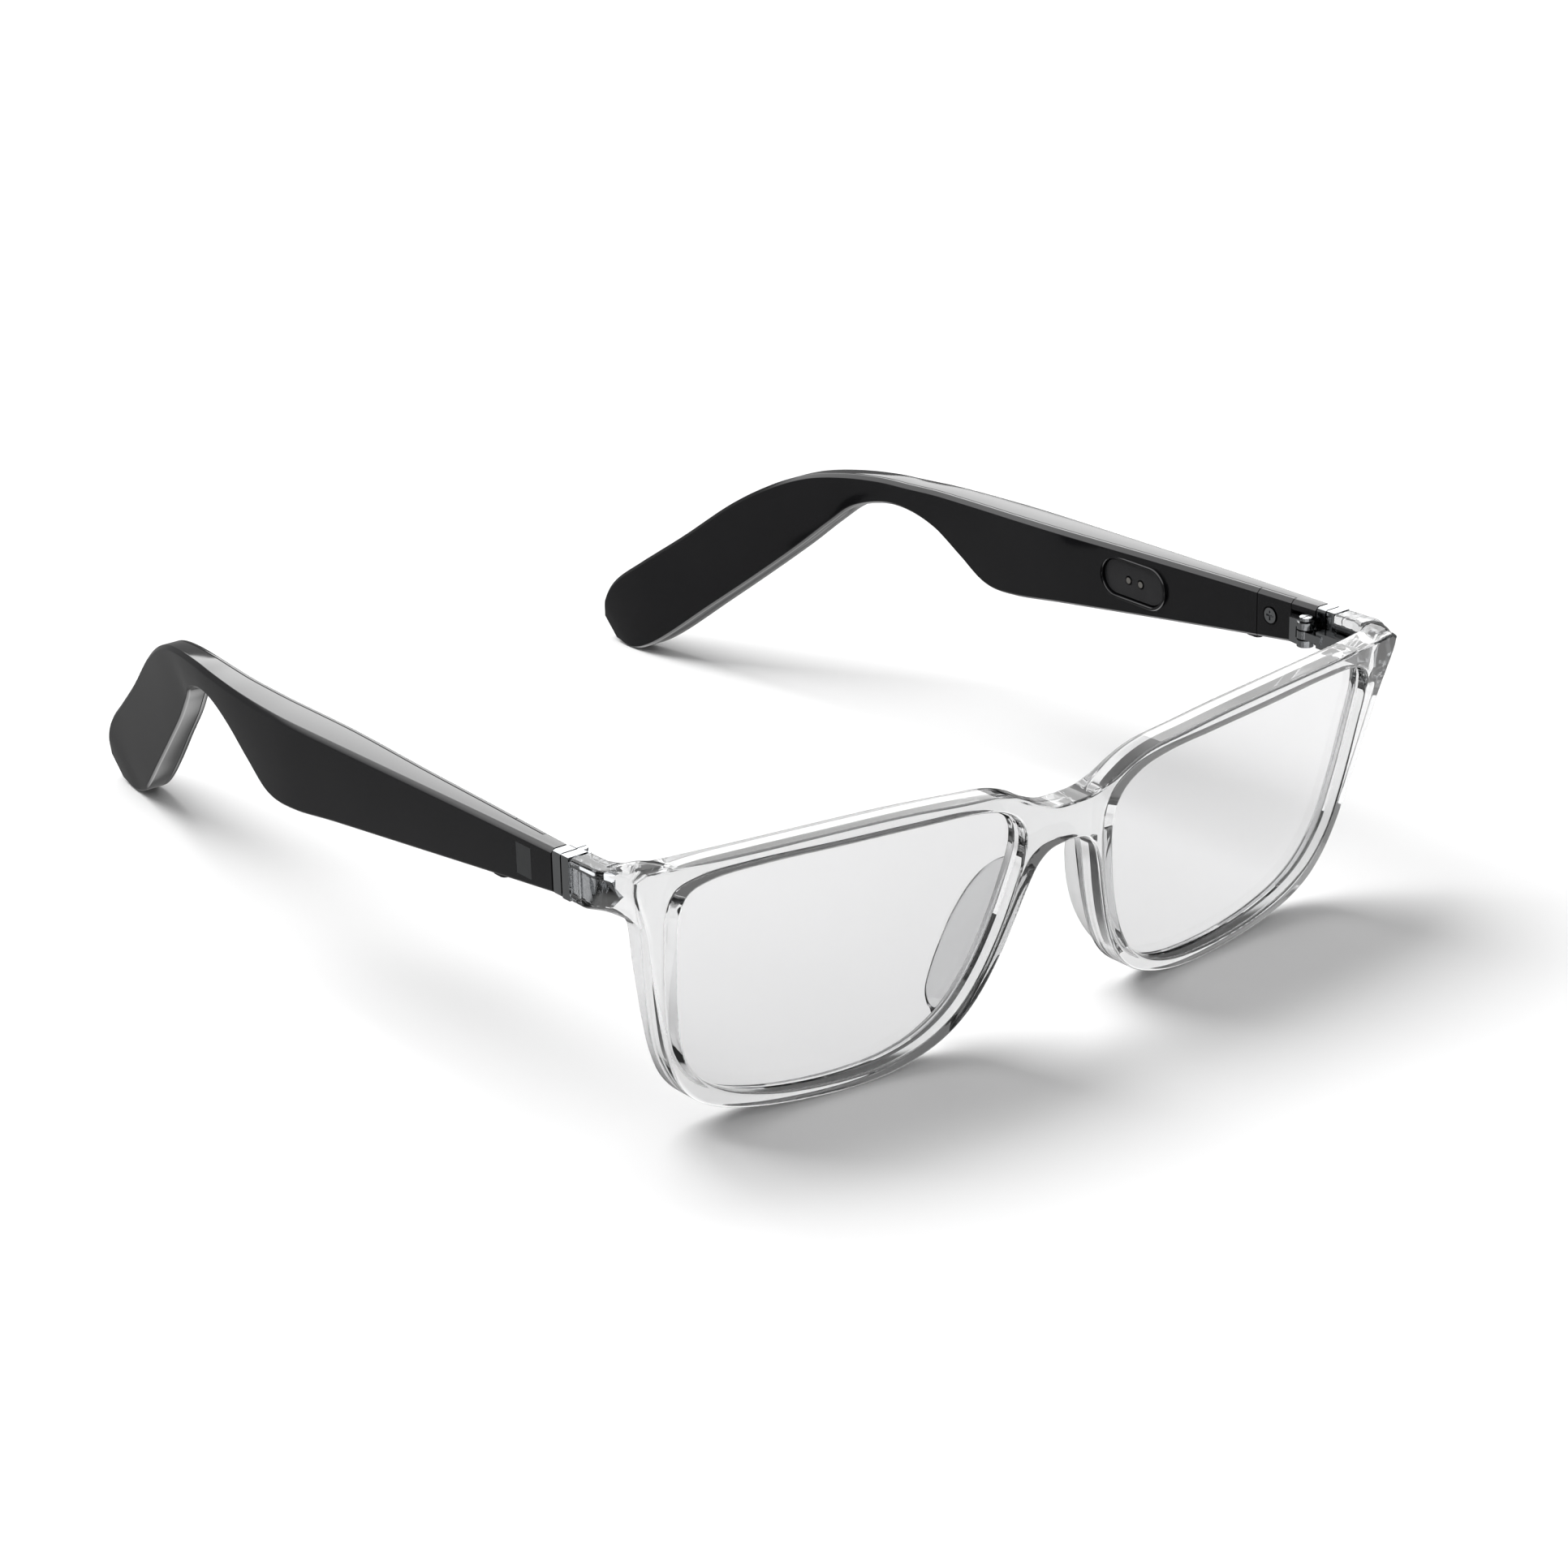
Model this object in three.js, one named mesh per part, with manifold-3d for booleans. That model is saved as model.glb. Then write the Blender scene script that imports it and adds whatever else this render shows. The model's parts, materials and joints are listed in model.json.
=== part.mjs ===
// Smart glasses: a clear rectangular front with tinted lenses, and two glossy black temples that hold
// the electronics. Millimetres, +Z up. The front faces -Y, the temples run towards +Y, and +X is the
// wearer's left. The glasses stand on the rim bottoms and the temple tips, as they do on a table.
import * as THREE from 'three';
import { mergeVertices } from 'three/addons/utils/BufferGeometryUtils.js';
import { TessellateModifier } from 'three/addons/modifiers/TessellateModifier.js';
import Module from 'manifold-3d';

const wasm = await Module();
wasm.setup();

// ---------- driving dimensions ----------

const GAP = 0.3; // clearance between neighbouring pieces

// front
const WRAP_RADIUS = 303; // the front's curve, seen from above
const TILT = THREE.MathUtils.degToRad(11.7); // the front leans forward at the top
const CURVE_STEP = 13; // longest edge on the curved faces
const RIM_DEPTH = 4.8; // front to back
const BRIDGE_TOP = 35.9;
const BRIDGE_BOTTOM = 29.9;
const GROOVE_START = 1.1; // behind the front face
const GROOVE_WIDTH = 2.6;
const GROOVE_DEPTH = 0.9;
const LENS_THICKNESS = 2.0;
const LENS_GRIP = 0.6; // how far the lens edge sits in its groove

// end piece and hinge
const END_REAR = 10.9; // the clear end piece stops here
const PLATE_Z = [35.5, 41.6]; // height of the end plates
const PLATE_X = [67.4, 70.5];
const FRONT_PLATE_Y = [11.2, 12.75];
const TEMPLE_PLATE_Y = [13.05, 14.75];
const PIVOT = new THREE.Vector2(65.6, 15.2); // hinge axis, seen from above
const KNUCKLE_RADIUS = 1.3;
const HINGE_Z = [36.0, 39.8];
const MIDDLE_KNUCKLE_Z = [37.3, 38.5];
const SCREW_RADIUS = 0.5;
const INSERT_X = [67.6, 68.6]; // the insert bar inside the end piece
const INSERT_Z = [36.3, 39.9];
const INSERT_TIP = 2.9; // its pointed front end
const INSERT_SHOULDER = 5.2; // the point widens to the full bar here
const INSERT_RIBS = [5.9, 7.9, 9.9];
// The front leaf's bar beside the end piece.
const RAIL = { x: [64.9, 66.6], y: [7.1, 12.4], z: [36.5, 39.0] };

// temple
const TEMPLE_FRONT = 15.05;
const WALL = 1.0;
const COVER_THICKNESS = 1.0;
const COVER_Y = [26.9, 90];
const HINGE_COVER_Y = [19.9, 26.6];
const CAVITY_Y = [27.1, 86];
const COVER_SCREW = new THREE.Vector2(24, 38); // y and z of its axis
const COVER_SCREW_HEAD = 1.2; // radius
const PORT = { y: 52.6, z: 36.0, length: 13.8, height: 6.0, depth: 0.3, thickness: 0.8 };
const CONTACTS_Y = 52.4; // midway between the two contacts
const CONTACT_SPACING = 2.7;
const CONTACT_RADIUS = 0.5;
const CONTACT_END = 68.3; // just clear of the circuit board
const BUTTON = { x: 68.85, y: 29.0, length: 2.8, width: 1.5, proud: 0.55, height: 1.9 };
const BADGE = { y: 21.8, z: 38.0, side: 4.4, thickness: 0.3 };
const BADGE_GAP = 0.25;
const TEMPLE_OUTER = 70.5; // outer face beside the badge
const SPEAKER_SLOTS = [75.6, 78.2, 80.8];
const MICROPHONE = { x: 68.95, y: 34, z: [34.8, 35.05], radius: 0.5 };
const CIRCUIT_BOARD = { x: [68.75, 69.25], y: [33.5, 56], z: [35.3, 39.4] };
const BATTERY = { x: [67.75, 69.3], y: [57.5, 72], z: [31.6, 38.8] };
const SPEAKER = { x: [67.3, 69.2], y: [74.2, 84.2], z: [29.7, 36.2] };

// The left temple as stations: top edge y and z, bottom edge y and z, outer x, inner x.
const TEMPLE_STATIONS = [
  [15, 41.6, 15, 35.4, 70.5, 67.4],
  [32, 41.4, 32, 33.3, 70.6, 66.6],
  [50, 41.05, 50, 31.0, 70.65, 65.7],
  [68, 40.7, 68, 28.7, 70.7, 64.6],
  [79, 40.45, 79, 27.15, 70.65, 64.3],
  [86, 40.3, 86, 27.3, 70.3, 64.2],
  [92, 40.2, 92, 30.5, 69.8, 64.0],
  [98, 40.1, 98, 33.8, 69.1, 63.7],
  [104, 39.9, 104, 35.6, 68.1, 63.0],
  [110.5, 39.7, 109.5, 35.6, 66.9, 62.2],
  [118, 38.9, 115.5, 33.7, 65.2, 60.8],
  [125.5, 37.3, 120, 30.1, 63.3, 59.1],
  [132.5, 34.4, 126, 24.8, 61.3, 57.0],
  [140.5, 29.6, 134.5, 17.9, 58.8, 54.3],
  [150, 22.3, 143.5, 10.8, 56.1, 51.2],
  [159, 15.9, 151.5, 4.5, 53.7, 48.8],
  [165.2, 11.4, 156.5, 1.3, 52.2, 47.7],
  [168.2, 7.6, 160.5, 0.0, 51.4, 47.4],
  [168.7, 4.4, 164.6, 0.5, 50.9, 47.5],
];

// Half outlines of the front in x and z, from the bridge round to the temple side.
const RIM_TOP = [
  [0, BRIDGE_TOP], [3.2, 36.1], [6.5, 37.3], [9.5, 39.0], [13, 40.3], [20, 41.1],
  [30, 41.9], [42, 42.2], [55, 42.2], [64, 42.15], [67, 42.1],
];
const RIM_SIDE = [
  [68.2, 41.3], [68.1, 39.4], [67.4, 37], [66.2, 33.4], [65.2, 28.6], [64.1, 23.6], [62.8, 18.2],
  [61.2, 12.6], [59.2, 8.2], [56.4, 5.0], [52.4, 2.8], [46.5, 1.3], [38.5, 0.3], [31, 0],
  [25.5, 0.5], [20.8, 1.8], [17.2, 3.6], [14.2, 6.2], [11.8, 9.6], [9.6, 14.3],
  [7.8, 19.6], [6.2, 24.8], [5.0, 27.6], [3.2, 29.3], [0, BRIDGE_BOTTOM],
];
const LENS_OUTLINE = [
  [8.1, 31.5], [9.0, 25], [10.8, 18], [13.2, 12], [16.2, 7.4], [20.2, 4.3], [25, 2.6], [31, 2.0],
  [39, 2.3], [46, 3.4], [52, 5.4], [56, 8.3], [58.8, 12.8], [60.4, 20], [61.4, 29], [61.8, 34.5],
  [60.9, 37.8], [57.8, 39.3], [50, 39.9], [38, 39.7], [26, 39.3], [17, 38.7], [12.2, 37.4], [9.2, 35.0],
];

// ---------- solids ----------

function solidOf(geometry) {
  const plain = new THREE.BufferGeometry();
  plain.setAttribute('position', geometry.getAttribute('position').clone());
  if (geometry.index) plain.setIndex(geometry.index.clone());
  const merged = mergeVertices(plain, 1e-4);
  return new wasm.Manifold(new wasm.Mesh({
    numProp: 3,
    vertProperties: new Float32Array(merged.getAttribute('position').array),
    triVerts: new Uint32Array(merged.index.array),
  }));
}

function geometryOf(solid) {
  const mesh = solid.getMesh();
  const geometry = new THREE.BufferGeometry();
  geometry.setAttribute('position', new THREE.BufferAttribute(mesh.vertProperties, 3));
  geometry.setIndex(new THREE.BufferAttribute(mesh.triVerts, 1));
  return geometry;
}

function add(...solids) {
  return solids.reduce((sum, solid) => sum.add(solid));
}

function box(x, y, z) {
  const geometry = new THREE.BoxGeometry(x[1] - x[0], y[1] - y[0], z[1] - z[0]);
  return solidOf(geometry.translate((x[0] + x[1]) / 2, (y[0] + y[1]) / 2, (z[0] + z[1]) / 2));
}

// A round pin along Z or X, between two heights on its axis.
function pinZ(x, y, z, radius, sides = 20) {
  const geometry = new THREE.CylinderGeometry(radius, radius, z[1] - z[0], sides);
  return solidOf(geometry.rotateX(Math.PI / 2).translate(x, y, (z[0] + z[1]) / 2));
}

function pinX(x, y, z, radius, sides = 20) {
  const geometry = new THREE.CylinderGeometry(radius, radius, x[1] - x[0], sides);
  return solidOf(geometry.rotateZ(Math.PI / 2).translate((x[0] + x[1]) / 2, y, z));
}

// A flat shape in x and y, raised along Z.
function prismZ(points, z) {
  const shape = new THREE.Shape(points.map(([x, y]) => new THREE.Vector2(x, y)));
  const geometry = new THREE.ExtrudeGeometry(shape, { depth: z[1] - z[0], bevelEnabled: false });
  return solidOf(geometry.translate(0, 0, z[0]));
}

// A flat shape in y and z, raised along X.
function prismX(points, x) {
  const shape = new THREE.Shape(points.map(([y, z]) => new THREE.Vector2(y, z)));
  const geometry = new THREE.ExtrudeGeometry(shape, { depth: x[1] - x[0], bevelEnabled: false });
  geometry.applyMatrix4(new THREE.Matrix4().set(0, 0, 1, x[0], 1, 0, 0, 0, 0, 1, 0, 0, 0, 0, 0, 1));
  return solidOf(geometry);
}

function stadium(centreY, centreZ, length, height, sides = 8) {
  const radius = height / 2;
  const reach = length / 2 - radius;
  const points = [];
  for (const side of [1, -1]) {
    for (let i = 0; i <= sides; i += 1) {
      const angle = side * Math.PI / 2 * (2 * i / sides - 1) + (side < 0 ? Math.PI : 0);
      points.push([
        centreY + side * reach + radius * Math.cos(angle),
        centreZ + radius * Math.sin(angle) * side,
      ]);
    }
  }
  return points;
}

// A closed skin through rings of equal length, each end closed from its middle.
function loft(rings) {
  const count = rings[0].length;
  const positions = rings.flat().flatMap((p) => [p.x, p.y, p.z]);
  const triangles = [];
  for (let r = 0; r < rings.length - 1; r += 1) {
    for (let i = 0; i < count; i += 1) {
      const a = r * count + i;
      const b = r * count + ((i + 1) % count);
      triangles.push(a, b, a + count, b, b + count, a + count);
    }
  }
  const ends = [[rings[0], 0, true], [rings.at(-1), (rings.length - 1) * count, false]];
  ends.forEach(([ring, start, flip]) => {
    const middle = ring.reduce((sum, p) => sum.add(p), new THREE.Vector3()).divideScalar(count);
    const hub = positions.length / 3;
    positions.push(middle.x, middle.y, middle.z);
    for (let i = 0; i < count; i += 1) {
      const a = start + i;
      const b = start + ((i + 1) % count);
      triangles.push(hub, flip ? b : a, flip ? a : b);
    }
  });
  const geometry = new THREE.BufferGeometry();
  geometry.setAttribute('position', new THREE.Float32BufferAttribute(positions, 3));
  geometry.setIndex(triangles);
  return solidOf(geometry);
}

// ---------- front ----------

function smoothLoop(points, divisions) {
  const places = points.map(([x, z]) => new THREE.Vector3(x, z, 0));
  const curve = new THREE.CatmullRomCurve3(places, true, 'centripetal');
  return curve.getPoints(divisions).slice(0, -1).map((p) => new THREE.Vector2(p.x, p.y));
}

function smoothLine(points, divisions) {
  const places = points.map(([x, z]) => new THREE.Vector3(x, z, 0));
  const curve = new THREE.CatmullRomCurve3(places, false, 'centripetal');
  return curve.getPoints(divisions).map((p) => new THREE.Vector2(p.x, p.y));
}

// Moves a closed outline outwards by a distance; the outline runs anticlockwise.
function grown(outline, distance) {
  return outline.map((point, i) => {
    const before = outline.at(i - 1);
    const after = outline[(i + 1) % outline.length];
    const normal = new THREE.Vector2(after.y - before.y, before.x - after.x).normalize();
    return point.clone().addScaledVector(normal, distance);
  });
}

function faceY(x, z) {
  return (x * x) / (2 * WRAP_RADIUS) - z * Math.tan(TILT);
}

// An outline in x and z given depth behind the curved, tilted front face.
function frontSlab(outline, start, depth) {
  const flat = new THREE.ExtrudeGeometry(new THREE.Shape(outline), { depth, bevelEnabled: false });
  flat.deleteAttribute('normal');
  flat.deleteAttribute('uv');
  const geometry = new TessellateModifier(CURVE_STEP, 8).modify(flat);
  const position = geometry.getAttribute('position');
  for (let i = 0; i < position.count; i += 1) {
    const [x, z, back] = [position.getX(i), position.getY(i), start + depth - position.getZ(i)];
    position.setXYZ(i, x, faceY(x, z) + back, z);
  }
  return solidOf(geometry);
}

function frontOutline() {
  const top = smoothLine(RIM_TOP, 22);
  const side = smoothLine(RIM_SIDE, 48);
  const half = [...top, ...side];
  const otherHalf = half.slice(1, -1).reverse().map((p) => new THREE.Vector2(-p.x, p.y));
  return [...half, ...otherHalf].reverse();
}

const lensLoop = smoothLoop(LENS_OUTLINE, 56).reverse();
const lensOutline = THREE.ShapeUtils.isClockWise(lensLoop) ? lensLoop.reverse() : lensLoop;

// The end piece runs back from the front's upper corner to the hinge.
function endPiece() {
  const rings = [];
  const steps = 5;
  for (let i = 0; i <= steps; i += 1) {
    const t = i / steps;
    const bend = Math.sin(Math.min(1, 2.2 * t) * Math.PI / 2);
    const outer = THREE.MathUtils.lerp(67.6, PLATE_X[1], bend);
    const inner = THREE.MathUtils.lerp(63.6, PLATE_X[0] - 0.4, Math.min(1, 1.5 * t));
    const top = THREE.MathUtils.lerp(41.9, PLATE_Z[1], t);
    const bottom = THREE.MathUtils.lerp(34.6, PLATE_Z[0], Math.min(1, 2 * t));
    const corners = [[inner, bottom], [outer - 0.5, bottom], [outer, bottom + 0.6], [outer, top - 0.6],
      [outer - 0.5, top], [inner, top]];
    rings.push(corners.map(([x, z]) => {
      const front = faceY(x, z) + 0.4;
      return new THREE.Vector3(x, THREE.MathUtils.lerp(front, END_REAR, t), z);
    }));
  }
  return loft(rings.reverse());
}

function insertBar(clearance) {
  const [low, high] = [INSERT_Z[0] - clearance, INSERT_Z[1] + clearance];
  const shoulder = INSERT_SHOULDER - clearance;
  const tip = [INSERT_TIP - clearance * 1.6, (low + high) / 2 + 0.3];
  const outline = [[END_REAR + 1, low], [END_REAR + 1, high], [shoulder, high], tip, [shoulder, low]];
  const bar = prismX(outline, [INSERT_X[0] - clearance, INSERT_X[1] + clearance]);
  const ribs = INSERT_RIBS.map((y) => box(
    [INSERT_X[1] - 0.2, INSERT_X[1] + 0.35 + clearance],
    [y - 0.35 - clearance, y + 0.35 + clearance],
    [low, high],
  ));
  return add(bar, ...ribs);
}

function frontFrame(mirror) {
  let frame = frontSlab(frontOutline(), 0, RIM_DEPTH);
  const corner = endPiece();
  const pocket = insertBar(GAP);
  const hole = frontSlab(lensOutline, -2, RIM_DEPTH + 5);
  const groove = frontSlab(grown(lensOutline, GROOVE_DEPTH), GROOVE_START, GROOVE_WIDTH);
  for (const side of [(s) => s, mirror]) {
    frame = frame.add(side(corner)).subtract(side(pocket)).subtract(side(hole)).subtract(side(groove));
  }
  return frame;
}

function lens() {
  const start = GROOVE_START + (GROOVE_WIDTH - LENS_THICKNESS) / 2;
  return frontSlab(grown(lensOutline, LENS_GRIP), start, LENS_THICKNESS);
}

// A wing behind the nose side of the rim; it follows the rim's slope and opens towards the back.
function nosePad() {
  const stations = [ // z, x of the nose side, length behind the rim
    [28.0, 5.6, 1.0], [26.6, 5.8, 2.9], [23.5, 6.7, 4.4], [19.5, 8.0, 5.2], [15.5, 9.4, 5.3],
    [11.5, 11.2, 4.8], [8.4, 13.1, 3.6], [6.4, 14.7, 1.4],
  ];
  const thickness = 1.9;
  const splay = 0.32;
  return loft(stations.map(([z, x, length]) => {
    const back = faceY(x, z) + RIM_DEPTH + GAP;
    const section = [[0.2, 0], [thickness, 0], [thickness, length * 0.7], [thickness * 0.8, length],
      [thickness * 0.3, length], [0, length * 0.75]];
    return section.map(([across, along]) => (
      new THREE.Vector3(x + across + splay * along, back + along, z)
    ));
  }).reverse());
}

// ---------- hinge ----------

function hingeFrontLeaf() {
  const plate = box(PLATE_X, FRONT_PLATE_Y, PLATE_Z);
  const [plateFront, plateRear] = FRONT_PLATE_Y;
  const arm = box([PIVOT.x - 1, PLATE_X[0] + 0.2], [plateFront + 0.1, plateRear], MIDDLE_KNUCKLE_Z);
  const web = box([PIVOT.x - 1, PIVOT.x + 1], [plateRear - 0.2, PIVOT.y], MIDDLE_KNUCKLE_Z);
  const rail = box(RAIL.x, RAIL.y, RAIL.z);
  const knuckle = pinZ(PIVOT.x, PIVOT.y, MIDDLE_KNUCKLE_Z, KNUCKLE_RADIUS);
  const hole = pinZ(PIVOT.x, PIVOT.y, [30, 45], SCREW_RADIUS + GAP / 2);
  return add(plate, insertBar(0), arm, web, rail, knuckle).subtract(hole);
}

function hingeTempleLeaf() {
  const arm = prismZ([
    [PIVOT.x - 0.7, PIVOT.y], [PIVOT.x + 0.9, PIVOT.y], [67.2, 17.4], [68.4, 17.9], [69.1, 17.9],
    [69.1, 25.9], [68.5, 25.9], [68.5, 19.4], [66.6, 19.4], [65.2, 18.2],
  ], HINGE_Z);
  const barrel = pinZ(PIVOT.x, PIVOT.y, HINGE_Z, KNUCKLE_RADIUS);
  const [low, high] = MIDDLE_KNUCKLE_Z;
  const swing = pinZ(PIVOT.x, PIVOT.y, [low - 0.25, high + 0.25], KNUCKLE_RADIUS + GAP);
  const hole = pinZ(PIVOT.x, PIVOT.y, [30, 45], SCREW_RADIUS + GAP / 2);
  const thread = pinX([66, 70], COVER_SCREW.x, COVER_SCREW.y, 0.65);
  return add(arm, barrel).subtract(swing).subtract(hole).subtract(thread);
}

function hingeScrew() {
  const shank = pinZ(PIVOT.x, PIVOT.y, [HINGE_Z[0] - 0.2, HINGE_Z[1] + 0.4], SCREW_RADIUS);
  const head = pinZ(PIVOT.x, PIVOT.y, [HINGE_Z[1] + 0.2, HINGE_Z[1] + 0.7], 0.95);
  const slotZ = [HINGE_Z[1] + 0.45, 42];
  const slot = box([PIVOT.x - 1.2, PIVOT.x + 1.2], [PIVOT.y - 0.12, PIVOT.y + 0.12], slotZ);
  return add(shank, head).subtract(slot);
}

function coverScrew() {
  const face = innerX(COVER_SCREW.x);
  const head = pinX([face - 0.1, face + 0.45], COVER_SCREW.x, COVER_SCREW.y, COVER_SCREW_HEAD);
  const shank = pinX([face + 0.4, 69.1], COVER_SCREW.x, COVER_SCREW.y, 0.4);
  const cross = [[0.75, 0.16], [0.16, 0.75]].map(([along, up]) => box(
    [face - 1, face + 0.2],
    [COVER_SCREW.x - along, COVER_SCREW.x + along],
    [COVER_SCREW.y - up, COVER_SCREW.y + up],
  ));
  return add(head, shank).subtract(add(...cross));
}

// ---------- temple ----------

const topCurve = new THREE.CatmullRomCurve3(
  TEMPLE_STATIONS.map(([y, z, , , outer]) => new THREE.Vector3(outer, y, z)), false, 'catmullrom', 0.5,
);
const bottomCurve = new THREE.CatmullRomCurve3(
  TEMPLE_STATIONS.map(([, , y, z, , inner]) => new THREE.Vector3(inner, y, z)), false, 'catmullrom', 0.5,
);

function stationAt(t) {
  const top = topCurve.getPoint(t);
  const bottom = bottomCurve.getPoint(t);
  return { top, bottom, outer: top.x, inner: bottom.x };
}

// The station where the top edge reaches y.
function stationAtY(y) {
  let [low, high] = [0, 1];
  for (let i = 0; i < 30; i += 1) {
    const middle = (low + high) / 2;
    if (topCurve.getPoint(middle).y < y) low = middle;
    else high = middle;
  }
  return stationAt(low);
}

function innerX(y) {
  return stationAtY(y).inner;
}

// A rounded rectangle across the temple; the insets shrink each side.
function templeRing(station, { outer = 0, inner = 0, top = 0, bottom = 0, radius = 1, slab }) {
  const up = station.top.clone().sub(station.bottom).setX(0);
  const height = up.length();
  up.normalize();
  const base = new THREE.Vector3(0, station.bottom.y, station.bottom.z);
  const [x0, x1] = slab ? slab(station) : [station.inner + inner, station.outer - outer];
  const [z0, z1] = [bottom, height - top];
  const points = [];
  const corners = [[x0, z0, Math.PI], [x1, z0, 1.5 * Math.PI], [x1, z1, 0], [x0, z1, 0.5 * Math.PI]];
  for (const [cx, cz, from] of corners) {
    const mx = cx === x0 ? cx + radius : cx - radius;
    const mz = cz === z0 ? cz + radius : cz - radius;
    for (let i = 0; i < 3; i += 1) {
      const angle = from + (i * Math.PI) / 4;
      const point = base.clone().addScaledVector(up, mz + radius * Math.sin(angle));
      points.push(point.setX(mx + radius * Math.cos(angle)));
    }
  }
  return points;
}

function templeSolid(options) {
  const count = 44;
  const rings = [];
  for (let i = 0; i <= count; i += 1) rings.push(templeRing(stationAt(i / count), options));
  return loft(rings.reverse());
}

// A stretch of the straight part of the temple, between two y values.
function templeStretch([from, to], options, steps = 8) {
  const rings = [];
  for (let i = 0; i <= steps; i += 1) {
    rings.push(templeRing(stationAtY(from + ((to - from) * i) / steps), options));
  }
  return loft(rings.reverse());
}

// The layer of the temple next to the head, between two y values.
function innerLayer(y, thickness, steps) {
  const options = { slab: (s) => [s.inner - 2, s.inner + thickness], top: -2, bottom: -2, radius: 0.1 };
  return templeStretch(y, options, steps);
}

function buttonHole(clearance, z) {
  const outline = stadium(0, 0, BUTTON.length + 2 * clearance, BUTTON.width + 2 * clearance)
    .map(([along, across]) => [BUTTON.x - across, BUTTON.y + along]);
  return prismZ(outline, z);
}

function templePieces() {
  const body = templeSolid({ radius: 0.9 });
  const underside = stationAtY(BUTTON.y).bottom.z;
  const portX = innerX(PORT.y);
  const wide = [COVER_Y[0] - GAP, COVER_Y[1] + GAP];

  const hingeHeight = [HINGE_Z[0] - GAP, HINGE_Z[1] + GAP];
  const coverFront = HINGE_COVER_Y[0] - GAP;

  const hollow = { slab: (s) => [s.inner, s.outer - WALL], top: WALL, bottom: WALL, radius: 0.5 };
  const cavity = templeStretch(CAVITY_Y, hollow, 10);
  const throat = innerLayer([TEMPLE_FRONT, coverFront], COVER_THICKNESS + GAP, 2);
  const hingePocket = add(
    throat.intersect(box([60, 72], [10, 20], hingeHeight)),
    innerLayer([coverFront, HINGE_COVER_Y[1] + GAP], COVER_THICKNESS + GAP, 2),
    box([67, 69.4], [15, 26.3], hingeHeight),
  );
  const buttonShaft = buttonHole(GAP, [underside - 2, underside + 2.2]);
  const badge = (clearance, x) => {
    const half = BADGE.side / 2 + clearance;
    return box(x, [BADGE.y - half, BADGE.y + half], [BADGE.z - half, BADGE.z + half]);
  };
  const badgePocket = badge(BADGE_GAP, [TEMPLE_OUTER - BADGE.thickness - 0.1, 72]);
  const speakerSlots = SPEAKER_SLOTS.map((y) => box([67.6, 69.2], [y - 0.5, y + 0.5], [25, 29.4]));
  const microphoneHole = pinZ(69, MICROPHONE.y, [31, 35.5], 0.4, 12);

  const housing = body
    .subtract(innerLayer(wide, COVER_THICKNESS + GAP))
    .subtract(cavity)
    .subtract(hingePocket)
    .subtract(buttonShaft)
    .subtract(badgePocket)
    .subtract(add(...speakerSlots, microphoneHole));

  const portHole = prismX(stadium(PORT.y, PORT.z, PORT.length, PORT.height, 10), [60, portX + 3]);
  const cover = body
    .intersect(innerLayer(COVER_Y, COVER_THICKNESS))
    .subtract(portHole)
    .subtract(buttonShaft);

  const screwRecess = [60, innerX(COVER_SCREW.x) + 0.7];
  const hingeCover = body
    .intersect(innerLayer(HINGE_COVER_Y, COVER_THICKNESS, 2))
    .subtract(pinX([60, 72], COVER_SCREW.x, COVER_SCREW.y, 0.65))
    .subtract(pinX(screwRecess, COVER_SCREW.x, COVER_SCREW.y, COVER_SCREW_HEAD + 0.25));

  const portFace = portX + PORT.depth;
  const contactY = [CONTACTS_Y - CONTACT_SPACING / 2, CONTACTS_Y + CONTACT_SPACING / 2];
  const contactHoles = contactY.map((y) => pinX([60, 72], y, PORT.z, CONTACT_RADIUS + 0.25));
  const portPlate = prismX(
    stadium(PORT.y, PORT.z, PORT.length - 2 * GAP, PORT.height - 2 * GAP, 10),
    [portFace, portFace + PORT.thickness],
  ).subtract(add(...contactHoles));
  const contactX = [portFace - 0.1, CONTACT_END];
  const contacts = contactY.map((y) => pinX(contactX, y, PORT.z, CONTACT_RADIUS, 16));

  const endPlate = templeRing(stationAtY(15), { radius: 0.5 });
  const plateY = [TEMPLE_PLATE_Y[1], TEMPLE_PLATE_Y[0]];
  const plateRings = plateY.map((y) => endPlate.map((p) => p.clone().setY(y)));

  const stem = buttonHole(0, [underside - BUTTON.proud, underside - BUTTON.proud + BUTTON.height]);
  const switchY = [BUTTON.y - 1.1, BUTTON.y + 1.1];
  const flange = box([BUTTON.x - 0.5, BUTTON.x + 0.5], [BUTTON.y - 1.6, BUTTON.y + 1.6],
    [underside + WALL + 0.05, underside + WALL + 0.35]);

  return {
    temple_housing: housing,
    temple_inner_cover: cover,
    hinge_cover: hingeCover,
    cover_screw: coverScrew(),
    temple_end_plate: loft(plateRings),
    hinge_temple_leaf: hingeTempleLeaf(),
    hinge_screw: hingeScrew(),
    charging_port_plate: portPlate,
    charging_contact_front: contacts[0],
    charging_contact_rear: contacts[1],
    temple_badge: badge(0, [TEMPLE_OUTER - BADGE.thickness, TEMPLE_OUTER + 0.05]),
    circuit_board: box(CIRCUIT_BOARD.x, CIRCUIT_BOARD.y, CIRCUIT_BOARD.z),
    button_switch: box([68.45, 69.35], switchY, [underside + 2.2, underside + 3.2]),
    battery: box(BATTERY.x, BATTERY.y, BATTERY.z),
    speaker: box(SPEAKER.x, SPEAKER.y, SPEAKER.z),
    microphone: pinZ(MICROPHONE.x, MICROPHONE.y, MICROPHONE.z, MICROPHONE.radius, 12),
    control_button: add(stem, flange),
  };
}

// ---------- materials ----------

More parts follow.
